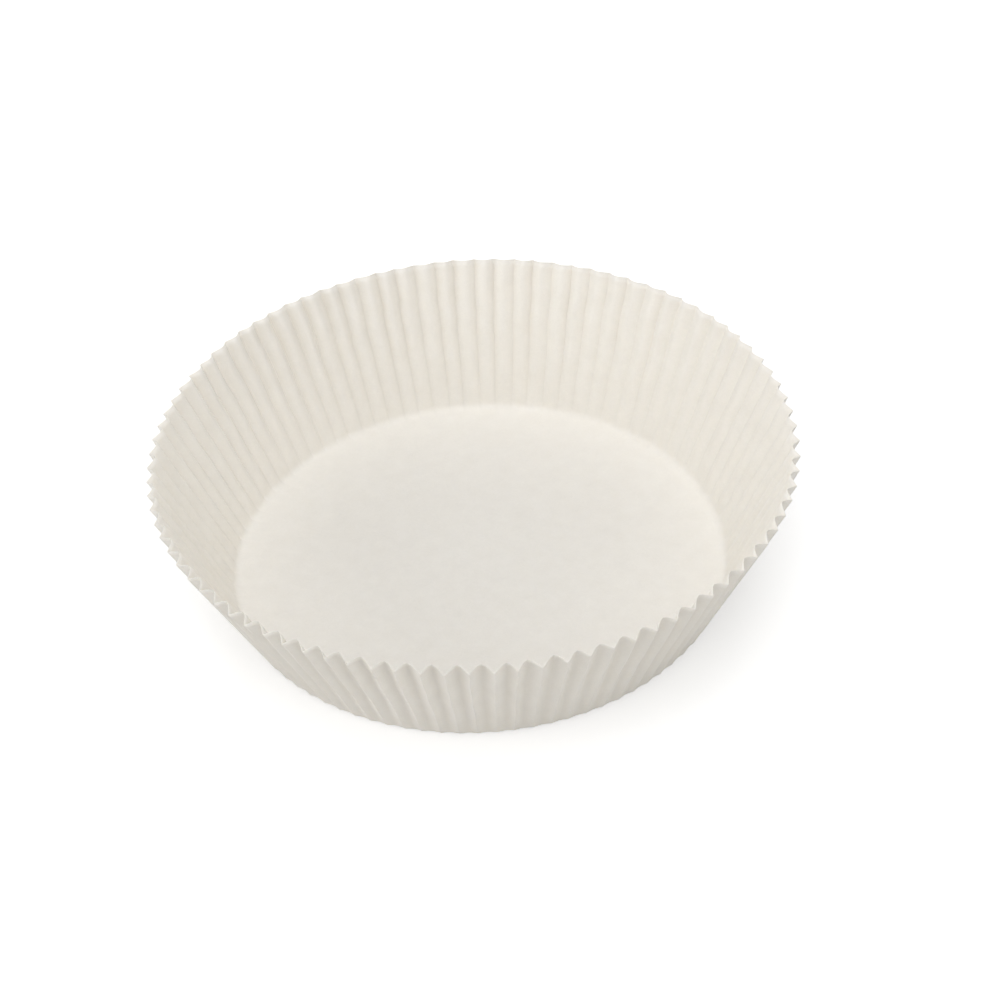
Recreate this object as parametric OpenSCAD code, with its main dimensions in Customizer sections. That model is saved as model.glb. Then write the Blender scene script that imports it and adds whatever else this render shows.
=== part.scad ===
// Round cake pan liner: one disc of greaseproof paper, pressed into a cup with a fluted wall.
// The origin is the centre of the base, on the surface that the cup stands on, and +Z points up.
// The outer folds of the flutes are sharp and lie on a plain cup: a flat base, an arc at the corner
// and a straight wall that flares out. Between them the paper arches inwards, square to the wall,
// so the inner crests stand a little higher at the rim than the outer folds.

/* [Cup] */
// Diameter of the flat base, up to the start of the corner
base_d = 152; // [120:1:170]
// Diameter over the outer folds at the rim
rim_d = 200; // [185:1:230]
// Height of the outer folds at the rim
wall_h = 46; // [30:1:70]
// Radius of the corner between the base and the wall
corner_r = 3; // [1:0.5:8]

/* [Paper] */
// Thickness of the paper
paper_t = 0.1; // [0.06:0.01:0.3]

/* [Flutes] */
// Number of flutes round the wall
flute_count = 91; // [60:1:100]
// Depth of a flute at the rim, from its outer fold to its inner crest
flute_depth = 3.2; // [1:0.1:4.5]
// Share of the pitch that the rounded top of an inner crest takes
inner_crest = 0.32; // [0.1:0.02:0.6]
// Share of the depth that the inner crest falls away by at the sides of its rounded top
crest_fall = 0.18; // [0:0.02:0.4]

/* [Hidden] */
paper_colour = [0.96, 0.95, 0.92];
// Rings of points up the corner and up the wall
corner_steps = 2;
wall_steps = 4;
base_r = base_d / 2;
rim_r = rim_d / 2;
// From the centre of the corner's arc to the rim, across and up
reach = [rim_r - base_r, wall_h - corner_r];
// Lean of the wall from upright, where it leaves the corner's arc as a tangent
flare = atan2(reach[0], reach[1]) - asin(corner_r / norm(reach));
corner_turn = 90 - flare;
// Lengths along the paper, from the centre of the disc outwards
corner_end = base_r + corner_r * corner_turn * PI / 180;
disc_r = corner_end + sqrt(norm(reach) ^ 2 - corner_r ^ 2);
pitch = 360 / flute_count;
// Corners of one flute, in pitches from its outer fold, and the shares of the depth that they stand in
flute_phases = [0, 0.5 - inner_crest / 2, 0.5, 0.5 + inner_crest / 2];
flute_sides = [0, 1 - crest_fall, 1, 1 - crest_fall];
ring_points = flute_count * len(flute_phases);
// Distances along the paper of the rings: the wall's are closer where the flutes begin
ring_lengths = concat(
    [for (i = [0 : corner_steps]) base_r + (corner_end - base_r) * i / corner_steps],
    [for (i = [1 : wall_steps]) corner_end + (disc_r - corner_end) * (i / wall_steps) ^ 2]
);
rings = len(ring_lengths);

// Angle from level at a distance along the paper
function lean(length) = min(corner_turn, max(0, length - base_r) / corner_r * 180 / PI);

// Point of the plain cup at a distance along the paper, as radius and height
function profile(length) =
    let (
        turned = lean(length),
        along = max(0, length - corner_end)
    )
    [
        min(length, base_r) + corner_r * sin(turned) + along * cos(turned),
        corner_r * (1 - cos(turned)) + along * sin(turned)
    ];

// Length that gathering has to take up at a distance along the paper: the disc is wider than the cup
function spare(length) = sqrt(max(0, length ^ 2 - profile(length)[0] ^ 2));

// Depth of the flutes at a distance along the paper
function depth(length) = flute_depth * spare(length) / spare(disc_r);

// Length of the paper's thickness when it is measured square to the plain cup, across a flute's flank
function thickness(length) =
    let (
        flank_width = (1 - inner_crest) * PI * profile(length)[0] / flute_count,
        flank_rise = (1 - crest_fall) * depth(length)
    )
    paper_t * norm([1, flank_rise / flank_width]);

// Point that stands inwards from the plain cup, at a distance along the paper and an angle
function cup_point(length, angle, inwards) =
    let (
        turned = lean(length),
        radius = profile(length)[0] - inwards * sin(turned),
        height = profile(length)[1] + inwards * cos(turned)
    )
    [radius * cos(angle), radius * sin(angle), height];

// One ring of a face of the paper; lift is 0 on the outer face and 1 on the inner face
function ring(length, lift) = [
    for (flute = [0 : flute_count - 1], corner = [0 : len(flute_phases) - 1])
        cup_point(
            length,
            (flute + flute_phases[corner]) * pitch,
            flute_sides[corner] * depth(length) + lift * thickness(length)
        )
];

// Index of a point: the outer face's rings come first, then the inner face's
function index(face, level, place) = (face * rings + level) * ring_points + place % ring_points;

// Two triangles across the four points a, b, c and d, which are in order round the quad
function quad(a, b, c, d) = [[a, b, c], [a, c, d]];

module liner() {
    points = [
        for (face = [0, 1], length = ring_lengths)
            each ring(length, face)
    ];
    outer_face = [
        for (level = [0 : rings - 2], place = [0 : ring_points - 1])
            each quad(
                index(0, level, place),
                index(0, level + 1, place),
                index(0, level + 1, place + 1),
                index(0, level, place + 1)
            )
    ];
    inner_face = [
        for (level = [0 : rings - 2], place = [0 : ring_points - 1])
            each quad(
                index(1, level, place),
                index(1, level, place + 1),
                index(1, level + 1, place + 1),
                index(1, level + 1, place)
            )
    ];
    rim_edge = [
        for (place = [0 : ring_points - 1])
            each quad(
                index(0, rings - 1, place),
                index(1, rings - 1, place),
                index(1, rings - 1, place + 1),
                index(0, rings - 1, place + 1)
            )
    ];
    base_under = [[for (place = [0 : ring_points - 1]) index(0, 0, place)]];
    base_top = [[for (place = [ring_points - 1 : -1 : 0]) index(1, 0, place)]];
    color(paper_colour)
        polyhedron(points, concat(outer_face, inner_face, rim_edge, base_under, base_top), convexity = 10);
}

liner();
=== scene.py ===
"""A round cake pan liner of greaseproof paper, on a plain white floor. Lengths are in metres."""
import math

import bpy
import numpy as np
from mathutils import Matrix, Vector


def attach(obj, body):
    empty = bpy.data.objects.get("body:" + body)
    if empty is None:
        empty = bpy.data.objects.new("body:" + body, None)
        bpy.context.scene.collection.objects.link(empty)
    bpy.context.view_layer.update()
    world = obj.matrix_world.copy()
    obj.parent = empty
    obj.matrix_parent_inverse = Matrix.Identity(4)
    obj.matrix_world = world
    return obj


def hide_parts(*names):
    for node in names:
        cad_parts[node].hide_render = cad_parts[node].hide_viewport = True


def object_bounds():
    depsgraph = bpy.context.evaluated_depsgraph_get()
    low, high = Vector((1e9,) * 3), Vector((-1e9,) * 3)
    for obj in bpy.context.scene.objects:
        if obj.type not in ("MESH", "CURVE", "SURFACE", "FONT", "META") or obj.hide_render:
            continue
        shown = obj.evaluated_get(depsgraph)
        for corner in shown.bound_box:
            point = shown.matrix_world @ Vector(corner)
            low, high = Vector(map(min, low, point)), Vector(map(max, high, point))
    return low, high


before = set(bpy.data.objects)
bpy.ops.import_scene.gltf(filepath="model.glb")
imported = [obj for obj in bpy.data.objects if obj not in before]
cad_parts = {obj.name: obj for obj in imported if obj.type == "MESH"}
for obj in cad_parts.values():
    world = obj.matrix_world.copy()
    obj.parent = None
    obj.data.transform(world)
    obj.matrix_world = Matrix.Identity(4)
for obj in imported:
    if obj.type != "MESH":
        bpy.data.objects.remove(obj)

cad_low, cad_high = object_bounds()

# Sizes of the cup, as the CAD model has them
MM = 0.001
BASE_R = 76 * MM
RIM_R = cad_high.x
WALL_H = 46 * MM
CORNER_R = 3 * MM
PAPER_T = 0.1 * MM
FLUTES = 91
FLUTE_DEPTH = 3.2 * MM
PITCH = 2 * math.pi / FLUTES

# Turn of all the flutes, and their slow drift round the cup: each term is size, turns and phase
FLUTES_TURN = math.radians(3.29)
FLUTES_DRIFT = [
    (math.radians(1.49), 1, math.radians(42)),
    (math.radians(0.33), 2, math.radians(153)),
]

# How far one flute differs from the next, as shares of the pitch or of the depth
SEED = 5
FOLD_SHIFT = 0.045
FLUTE_SKEW = 0.07
OUTER_FOLD_RISE = 0.07
INNER_CREST_DROP = 0.10
CREST_RIPPLE = 0.05
CREST_RIPPLE_LENGTH = 17 * MM
# Roundness of an inner crest in a flute's section, where 0 is a sharp peak
CREST_SOFTNESS = 0.22
# Share of a flute's section that is a plain sine, and the rest is the softened peak
SINE_SHARE = 0.5

# Side of the cup where the flutes are shallowest, and the share of their depth that is lost there
SHALLOW_SIDE = math.radians(65)
SHALLOW_LOSS = 0.2

# Uneven folds, rim and base. The terms of the waves are size, turns round the cup, wavelength along
# the paper and phase; the rim's waves don't change along the paper, so their wavelength isn't used.
FOLD_WANDER = 0.26 * MM
FOLD_WAVES = [(0.6, 3, 31 * MM, 0.4), (0.5, 7, 19 * MM, 2.1), (0.35, 11, 13 * MM, 4.4)]
RIM_OUT_OF_ROUND = 0.5 * MM
RIM_OUT_OF_ROUND_WAVES = [(0.7, 2, 1, 2.6), (0.5, 3, 1, 0.9), (0.3, 7, 1, 4.0)]
RIM_OUT_OF_ROUND_ONSET = 2
RIM_CUT = 0.12 * MM
RIM_CUT_WAVES = [(0.5, 9, 1, 0.3), (0.4, 23, 1, 1.7), (0.3, 41, 1, 5.1)]
RIM_CUT_ONSET = 4
CORNER_PLEAT = 0.16 * MM
CORNER_PLEAT_REACH = 2.6 * MM
BASE_WAVE = 0.12 * MM
BASE_WAVES = [(0.5, 2, 90 * MM, 1.0), (0.4, 5, 60 * MM, 3.0)]

# Painted shade in the hollows, a darker paper colour where little light reaches: its width, as a
# share of a flute, and its strength, along the outer folds on the inside of the cup and along the
# inner crests on its outside
INSIDE_PAINTED_SHADE = (0.12, 0.62)
OUTSIDE_PAINTED_SHADE = (0.24, 0.85)
# How soon the painted shade grows with the flutes' depth: under 1 is sooner than the depth itself
PAINTED_SHADE_ONSET = 0.5
# Side of the cup where the painted shade along the folds on the inside is darkest, as light falls
# across them there, how closely it keeps to that side, and the share of it on the far side
PAINTED_SHADE_SIDE = math.radians(108)
PAINTED_SHADE_FOCUS = 6
PAINTED_SHADE_LEAST = 0.15

# Points across one flute, from its outer fold to the next, and rings of points along the paper
FLUTE_POINTS = [0, 0.035, 0.1, 0.2, 0.34, 0.5, 0.66, 0.8, 0.9, 0.965]
BASE_RINGS = [0.3, 0.55, 0.75, 0.88, 0.94, 0.97, 0.985]
CORNER_RINGS = 5
WALL_RINGS = 28
# Over 1 sets the wall's rings closer together near the corner
WALL_RING_CROWDING = 1.25

# Colours of the paper: its cloudy tone from darker to lighter, and the tint of full painted shade in
# the hollows
PAPER_DARKER = (0.862, 0.822, 0.75, 1)
PAPER_LIGHTER = (0.892, 0.854, 0.784, 1)
PAINTED_SHADE_TINT = (0.845, 0.83, 0.808, 1)
# Places in the noise where the tone is darkest and lightest
TONE_STOPS = (0.3, 0.72)
# Share of the relief that the fibres have beside the crumple
FIBRE_RELIEF = 0.12
# Sockets of the mix node, which have no names of their own for colours
MIX_FACTOR, MIX_FIRST, MIX_SECOND, MIX_RESULT = 0, 6, 7, 2

# The floor: half its width, its grey, and its glow near the object and far from it, each as the
# distance from the middle and the strength there
FLOOR_HALF = 3.0
FLOOR_GREY = (0.7, 0.7, 0.7, 1)
FLOOR_GLOW_NEAR = (0.3, 0.5)
FLOOR_GLOW_FAR = (1.0, 1.0)

# The light: strength of the surroundings, and the lamps as name, place, size and level
WHITE = (1, 1, 1, 1)
WORLD_LIGHT = 0.1
LAMPS = [
    ("overhead", (0, 0, 1.7), 1.6, 0.7),
    ("overhead front", (0, -1.1, 1.3), 1.0, 0.17),
    ("left", (-1.45, -0.4, 0.5), 0.9, 0.27),
    ("front left", (-1.1, -1.2, 0.5), 0.9, 0.12),
    ("front right", (1.1, -1.2, 0.5), 0.9, 0.19),
    ("back", (0, 1.6, 0.5), 0.9, 0.2),
]

# The photograph's camera, round the centre of the rim's plane: its distance, elevation, roll and
# lens, and the pixel of the photograph where that centre lands
PHOTO_SIZE = 1000
VIEW_DISTANCE = 7.91 * RIM_R
VIEW_ELEVATION = math.radians(40.35)
VIEW_ROLL = math.radians(-3.75)
VIEW_FOCAL = 2580
RIM_CENTRE_PIXEL = (471.7, 447.4)
SENSOR_WIDTH = 36


def corner_shape():
    """Lean of the wall from upright, and the paper's length to the corner's end and to the rim."""
    across = RIM_R - BASE_R
    up = WALL_H - CORNER_R
    reach = math.hypot(across, up)
    flare = math.atan2(across, up) - math.asin(CORNER_R / reach)
    corner_end = BASE_R + CORNER_R * (math.pi / 2 - flare)
    return flare, corner_end, corner_end + math.sqrt(reach ** 2 - CORNER_R ** 2)


FLARE, CORNER_END, DISC_R = corner_shape()


def profile(length):
    """Radius, height and angle from level of the plain cup, at a distance along the paper."""
    lean = np.clip((length - BASE_R) / CORNER_R, 0, math.pi / 2 - FLARE)
    along = np.maximum(0, length - CORNER_END)
    radius = np.minimum(length, BASE_R) + CORNER_R * np.sin(lean) + along * np.cos(lean)
    height = CORNER_R * (1 - np.cos(lean)) + along * np.sin(lean)
    return radius, height, lean


def spare(length):
    """Length that the flutes take up: the flat disc is wider than the cup."""
    return np.sqrt(np.maximum(0, length ** 2 - profile(length)[0] ** 2))


def waves(angle, length, terms):
    """Sum of slow waves round the cup and along the paper."""
    return sum(
        size * np.sin(turns * angle + 2 * math.pi * length / wavelength + phase)
        for size, turns, wavelength, phase in terms
    )


def nearness(angle, side):
    """1 on a side of the cup, falling to 0 on the far side."""
    return 0.5 + 0.5 * np.cos(angle - side)


def flute_shape(across):
    """How far in the paper stands across a flute: 0 at its sharp outer fold, 1 at its inner crest."""
    tip = math.sqrt(1 + CREST_SOFTNESS ** 2) - CREST_SOFTNESS
    peak = 1 - (np.sqrt((2 * across - 1) ** 2 + CREST_SOFTNESS ** 2) - CREST_SOFTNESS) / tip
    return SINE_SHARE * np.sin(math.pi * across) + (1 - SINE_SHARE) * peak


def painted_fold_shade(distance, shade_sizes):
    """Strength of the painted shade at a distance from a fold, as a share of a flute."""
    width, strength = shade_sizes
    return strength * np.exp(-(distance / width) ** 2)


def ring_lengths():
    """Distances along the paper of the rings of points, from the middle of the base to the rim."""
    return np.array(
        [BASE_R * share for share in BASE_RINGS]
        + [BASE_R + (CORNER_END - BASE_R) * i / CORNER_RINGS for i in range(CORNER_RINGS)]
        + [
            CORNER_END + (DISC_R - CORNER_END) * (i / WALL_RINGS) ** WALL_RING_CROWDING
            for i in range(WALL_RINGS + 1)
        ]
    )


def paper_grid():
    """The middle of the paper as rings of points, with the strength of the painted shade on both
    faces.
    """
    random = np.random.default_rng(SEED)
    length = ring_lengths()[:, None]
    growth = spare(length) / spare(np.array(DISC_R))

    fold_shift = random.uniform(-FOLD_SHIFT, FOLD_SHIFT, FLUTES)
    flute_skew = random.uniform(-FLUTE_SKEW, FLUTE_SKEW, FLUTES)
    fold_rise = random.uniform(0, OUTER_FOLD_RISE, FLUTES)
    crest_top = 1 - random.uniform(0, INNER_CREST_DROP, FLUTES)
    ripple_phase = random.uniform(0, 2 * math.pi, FLUTES)

    flute = np.repeat(np.arange(FLUTES), len(FLUTE_POINTS))
    following = (flute + 1) % FLUTES
    across = np.tile(FLUTE_POINTS, FLUTES)
    shape = flute_shape(across)
    eased = across + flute_skew[flute] * np.sin(math.pi * across)
    fold = PITCH * (flute + fold_shift[flute])
    next_fold = PITCH * (flute + 1 + fold_shift[following])
    angle = fold + (next_fold - fold) * eased

    drift = FLUTES_TURN + sum(
        size * np.cos(turns * angle - phase) for size, turns, phase in FLUTES_DRIFT
    )
    wander = waves(angle, length, FOLD_WAVES)
    angle = angle + drift + FOLD_WANDER * growth * wander / RIM_R

    ripple_turn = 2 * math.pi * length / CREST_RIPPLE_LENGTH + ripple_phase[flute]
    ripple = 1 + CREST_RIPPLE * np.sin(ripple_turn)
    rise = fold_rise[flute] * (1 - across) + fold_rise[following] * across
    depth = FLUTE_DEPTH * growth * (1 - SHALLOW_LOSS * nearness(angle, SHALLOW_SIDE))
    inwards = depth * (rise * (1 - shape) + crest_top[flute] * ripple * shape)
    inside_corner = np.exp((np.minimum(length, BASE_R) - BASE_R) / CORNER_PLEAT_REACH)
    inwards = inwards + CORNER_PLEAT * inside_corner * (1 - growth) * shape
    level = BASE_WAVE * (1 + waves(angle, length, BASE_WAVES))
    on_base = (length < BASE_R) * np.sin(math.pi * np.minimum(length / BASE_R, 1)) ** 2
    inwards = inwards + level * on_base

    cut = RIM_CUT * waves(angle, 0, RIM_CUT_WAVES) * growth ** RIM_CUT_ONSET
    radius, height, lean = profile(length + cut)
    swing = RIM_OUT_OF_ROUND * growth ** RIM_OUT_OF_ROUND_ONSET
    swing = swing * waves(angle, 0, RIM_OUT_OF_ROUND_WAVES)
    radius = radius - inwards * np.sin(lean) + swing * math.cos(FLARE)
    height = height + inwards * np.cos(lean) - swing * math.sin(FLARE) + PAPER_T / 2
    points = np.stack([radius * np.cos(angle), radius * np.sin(angle), height], axis=-1)

    # Painted shade along the hollows: inside along the outer folds, outside along the inner crests
    painted_shading = nearness(angle, PAINTED_SHADE_SIDE) ** PAINTED_SHADE_FOCUS
    inside = painted_fold_shade(across - np.round(across), INSIDE_PAINTED_SHADE) * growth ** PAINTED_SHADE_ONSET
    inside = inside * (PAINTED_SHADE_LEAST + (1 - PAINTED_SHADE_LEAST) * painted_shading)
    outside = painted_fold_shade(across - 0.5, OUTSIDE_PAINTED_SHADE) * growth ** PAINTED_SHADE_ONSET
    return points, inside, outside


def grid_normals(points):
    """Unit normals of a closed grid of points, towards the inside of the cup."""
    round_cup = np.roll(points, -1, axis=1) - np.roll(points, 1, axis=1)
    up_wall = np.gradient(points, axis=0)
    normals = np.cross(up_wall, round_cup)
    normals /= np.linalg.norm(normals, axis=-1, keepdims=True)
    return normals


def paper_mesh(name):
    """Both faces of the paper, joined at the cut edge, as one closed mesh."""
    middle, inside_painted_shade, outside_painted_shade = paper_grid()
    normals = grid_normals(middle)
    rings, places = middle.shape[:2]
    outer = middle - normals * PAPER_T / 2
    inner = middle + normals * PAPER_T / 2
    centre = middle[0].mean(axis=0)
    points = np.concatenate([outer.reshape(-1, 3), inner.reshape(-1, 3), [centre, centre]])
    points[-2, 2] -= PAPER_T / 2
    points[-1, 2] += PAPER_T / 2

    level, place = np.meshgrid(np.arange(rings - 1), np.arange(places), indexing="ij")
    following = (place + 1) % places
    low = level * places
    high = low + places
    outer_quads = np.stack(
        [low + place, low + following, high + following, high + place], axis=-1
    )
    lifted = rings * places
    inner_quads = outer_quads[..., ::-1] + lifted

    place = np.arange(places)
    following = (place + 1) % places
    top = (rings - 1) * places
    lifted_top = lifted + top
    edge_quads = np.stack(
        [top + place, top + following, lifted_top + following, lifted_top + place], axis=-1
    )
    centre_outer = 2 * lifted
    centre_inner = centre_outer + 1
    pairs = list(zip(place, following))
    fan_outer = [(centre_outer, int(b), int(a)) for a, b in pairs]
    fan_inner = [(centre_inner, int(lifted + a), int(lifted + b)) for a, b in pairs]
    quads = np.concatenate([outer_quads.reshape(-1, 4), inner_quads.reshape(-1, 4), edge_quads])

    mesh = bpy.data.meshes.new(name)
    mesh.from_pydata(points.tolist(), [], quads.tolist() + fan_outer + fan_inner)
    mesh.validate()
    mesh.shade_smooth()
    # Painted shade of both faces, kept on the points for the material to darken the colour
    painted_shades = np.concatenate([outside_painted_shade.ravel(), inside_painted_shade.ravel(), [0, 0]])
    shade_attribute = mesh.attributes.new("hollow_shade", "FLOAT", "POINT")
    shade_attribute.data.foreach_set("value", painted_shades.astype(np.float32))
    return mesh


def node(tree, kind, place, **values):
    """A shader node with some of its inputs or properties set."""
    made = tree.nodes.new(kind)
    made.location = place
    for name, value in values.items():
        label = name.replace("_", " ").title()
        if label in made.inputs:
            made.inputs[label].default_value = value
        else:
            setattr(made, name, value)
    return made


def new_material(name):
    """A material with an empty node tree and its output."""
    material = bpy.data.materials.new(name)
    material.use_nodes = True
    material.node_tree.nodes.clear()
    output = node(material.node_tree, "ShaderNodeOutputMaterial", (900, 0))
    return material, material.node_tree, output


def paper_material():
    """Warm white greaseproof paper: cloudy, faintly fibrous, smooth but not shiny, with painted shade
    in its hollows.
    """
    material, tree, output = new_material("greaseproof paper")
    link = tree.links.new
    noise = "ShaderNodeTexNoise"
    place = node(tree, "ShaderNodeTexCoord", (-1300, 0))
    cloud = node(tree, noise, (-1000, 300), scale=170, detail=5, roughness=0.6)
    fibre = node(tree, noise, (-1000, 50), scale=1400, detail=3, roughness=0.6, distortion=1.2)
    crumple = node(tree, noise, (-1000, -200), scale=240, detail=4, roughness=0.55)
    for texture in (cloud, fibre, crumple):
        link(place.outputs["Object"], texture.inputs["Vector"])

    tone = node(tree, "ShaderNodeValToRGB", (-750, 300))
    stops = zip(tone.color_ramp.elements, TONE_STOPS, (PAPER_DARKER, PAPER_LIGHTER))
    for element, position, colour in stops:
        element.position = position
        element.color = colour
    link(cloud.outputs["Fac"], tone.inputs["Fac"])
    specks = node(
        tree, "ShaderNodeMapRange", (-750, 50), from_min=0.3, from_max=0.7, to_min=0.975, to_max=1.015
    )
    link(fibre.outputs["Fac"], specks.inputs["Value"])
    fibrous = node(tree, "ShaderNodeVectorMath", (-450, 250), operation="SCALE")
    link(tone.outputs["Color"], fibrous.inputs[0])
    link(specks.outputs["Result"], fibrous.inputs["Scale"])
    # Painted shade: the paper's colour is multiplied by a darker tint along the hollows
    hollow_shade = node(tree, "ShaderNodeAttribute", (-450, 500), attribute_name="hollow_shade")
    painted_shading = node(
        tree, "ShaderNodeMix", (-150, 300), data_type="RGBA", blend_type="MULTIPLY"
    )
    painted_shading.inputs[MIX_SECOND].default_value = PAINTED_SHADE_TINT
    link(hollow_shade.outputs["Fac"], painted_shading.inputs[MIX_FACTOR])
    link(fibrous.outputs["Vector"], painted_shading.inputs[MIX_FIRST])

    gloss = node(
        tree, "ShaderNodeMapRange", (-450, 0), from_min=0.3, from_max=0.7, to_min=0.5, to_max=0.64
    )
    link(cloud.outputs["Fac"], gloss.inputs["Value"])
    relief = node(tree, "ShaderNodeMath", (-650, -250), operation="MULTIPLY_ADD")
    relief.inputs[1].default_value = FIBRE_RELIEF
    link(fibre.outputs["Fac"], relief.inputs[0])
    link(crumple.outputs["Fac"], relief.inputs[2])
    bump = node(tree, "ShaderNodeBump", (-350, -250), strength=0.35, distance=0.00035)
    link(relief.outputs["Value"], bump.inputs["Height"])

    shader = node(tree, "ShaderNodeBsdfPrincipled", (450, 0))
    shader.inputs["Specular IOR Level"].default_value = 0.35
    shader.inputs["Subsurface Weight"].default_value = 0.22
    shader.inputs["Subsurface Radius"].default_value = (1.0, 0.85, 0.65)
    shader.inputs["Subsurface Scale"].default_value = 0.0012
    link(painted_shading.outputs[MIX_RESULT], shader.inputs["Base Color"])
    link(gloss.outputs["Result"], shader.inputs["Roughness"])
    link(bump.outputs["Normal"], shader.inputs["Normal"])
    link(shader.outputs["BSDF"], output.inputs["Surface"])
    return material


def seen_directly(tree):
    """1 for rays that show the surroundings, straight, mirrored or through glass, and 0 for light."""
    path = node(tree, "ShaderNodeLightPath", (-700, 0))
    mirrored = node(tree, "ShaderNodeMath", (-450, 0), operation="MAXIMUM")
    tree.links.new(path.outputs["Is Camera Ray"], mirrored.inputs[0])
    tree.links.new(path.outputs["Is Glossy Ray"], mirrored.inputs[1])
    shown = node(tree, "ShaderNodeMath", (-250, 0), operation="MAXIMUM")
    tree.links.new(mirrored.outputs["Value"], shown.inputs[0])
    tree.links.new(path.outputs["Is Transmission Ray"], shown.inputs[1])
    return shown.outputs["Value"]


def floor_material():
    """A floor that keeps the object's shadow, and looks white where it is fully lit and far away."""
    material, tree, output = new_material("white floor")
    link = tree.links.new
    diffuse = node(tree, "ShaderNodeBsdfDiffuse", (0, 100), color=FLOOR_GREY)
    glow = node(tree, "ShaderNodeEmission", (0, -100))
    place = node(tree, "ShaderNodeNewGeometry", (-700, -300))
    away = node(tree, "ShaderNodeVectorMath", (-500, -300), operation="LENGTH")
    link(place.outputs["Position"], away.inputs[0])
    near, near_glow = FLOOR_GLOW_NEAR
    far, far_glow = FLOOR_GLOW_FAR
    whiten = node(
        tree, "ShaderNodeMapRange", (-300, -300),
        from_min=near, from_max=far, to_min=near_glow, to_max=far_glow,
    )
    link(away.outputs["Value"], whiten.inputs["Value"])
    strength = node(tree, "ShaderNodeMath", (-100, -250), operation="MULTIPLY")
    link(whiten.outputs["Result"], strength.inputs[1])
    link(seen_directly(tree), strength.inputs[0])
    link(strength.outputs["Value"], glow.inputs["Strength"])
    both = node(tree, "ShaderNodeAddShader", (300, 0))
    link(diffuse.outputs["BSDF"], both.inputs[0])
    link(glow.outputs["Emission"], both.inputs[1])
    link(both.outputs["Shader"], output.inputs["Surface"])
    return material


def make_world():
    """White where it is seen, and a soft even light on the object."""
    world = bpy.data.worlds.new("studio")
    world.use_nodes = True
    tree = world.node_tree
    tree.nodes.clear()
    link = tree.links.new
    output = node(tree, "ShaderNodeOutputWorld", (600, 0))
    light = node(tree, "ShaderNodeBackground", (0, 100), color=WHITE, strength=WORLD_LIGHT)
    white = node(tree, "ShaderNodeBackground", (0, -100), color=WHITE, strength=1)
    either = node(tree, "ShaderNodeMixShader", (300, 0))
    link(seen_directly(tree), either.inputs["Fac"])
    link(light.outputs["Background"], either.inputs[1])
    link(white.outputs["Background"], either.inputs[2])
    link(either.outputs["Shader"], output.inputs["Surface"])
    bpy.context.scene.world = world


def soft_light(name, place, size, level):
    """A square lamp turned to the origin; its level is how bright a white card looks there."""
    lamp = bpy.data.lights.new(name, "AREA")
    lamp.size = size
    lamp.energy = level * (math.pi * Vector(place).length) ** 2
    lit = bpy.data.objects.new(name, lamp)
    lit.location = place
    lit.rotation_mode = "QUATERNION"
    lit.rotation_quaternion = (-Vector(place)).to_track_quat("-Z", "Y")
    bpy.context.scene.collection.objects.link(lit)


def make_camera():
    """The photograph's view: the camera slides in its own plane to put the rim's centre in place."""
    toward = Vector((0, -math.cos(VIEW_ELEVATION), math.sin(VIEW_ELEVATION)))
    level = Vector((1, 0, 0))
    upright = Vector((0, math.sin(VIEW_ELEVATION), math.cos(VIEW_ELEVATION)))
    right = level * math.cos(VIEW_ROLL) + upright * math.sin(VIEW_ROLL)
    up = upright * math.cos(VIEW_ROLL) - level * math.sin(VIEW_ROLL)
    slide = [
        (pixel - PHOTO_SIZE / 2) / VIEW_FOCAL * VIEW_DISTANCE for pixel in RIM_CENTRE_PIXEL
    ]
    rim_centre = Vector((0, 0, WALL_H))
    place = rim_centre + toward * VIEW_DISTANCE - right * slide[0] + up * slide[1]
    turn = Matrix((right, up, toward)).transposed().to_4x4()
    camera = bpy.data.cameras.new("camera")
    camera.sensor_width = SENSOR_WIDTH
    camera.lens = VIEW_FOCAL / PHOTO_SIZE * SENSOR_WIDTH
    seen = bpy.data.objects.new("camera", camera)
    seen.matrix_world = Matrix.Translation(place) @ turn
    bpy.context.scene.collection.objects.link(seen)
    bpy.context.scene.camera = seen


def make_floor():
    """A wide flat floor at the height that the liner stands on."""
    half = FLOOR_HALF
    corners = [(-half, -half, 0), (half, -half, 0), (half, half, 0), (-half, half, 0)]
    mesh = bpy.data.meshes.new("floor")
    mesh.from_pydata(corners, [], [(0, 1, 2, 3)])
    mesh.materials.append(floor_material())
    floor = bpy.data.objects.new("floor", mesh)
    bpy.context.scene.collection.objects.link(floor)


def make_liner():
    """The paper cup itself, in place of its CAD solid."""
    mesh = paper_mesh("paper_liner")
    mesh.materials.append(paper_material())
    liner = bpy.data.objects.new("paper_liner", mesh)
    bpy.context.scene.collection.objects.link(liner)
    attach(liner, "root")
    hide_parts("liner")


make_camera()
make_liner()
make_floor()
make_world()
for lamp in LAMPS:
    soft_light(*lamp)
bpy.context.scene.view_settings.view_transform = "Standard"
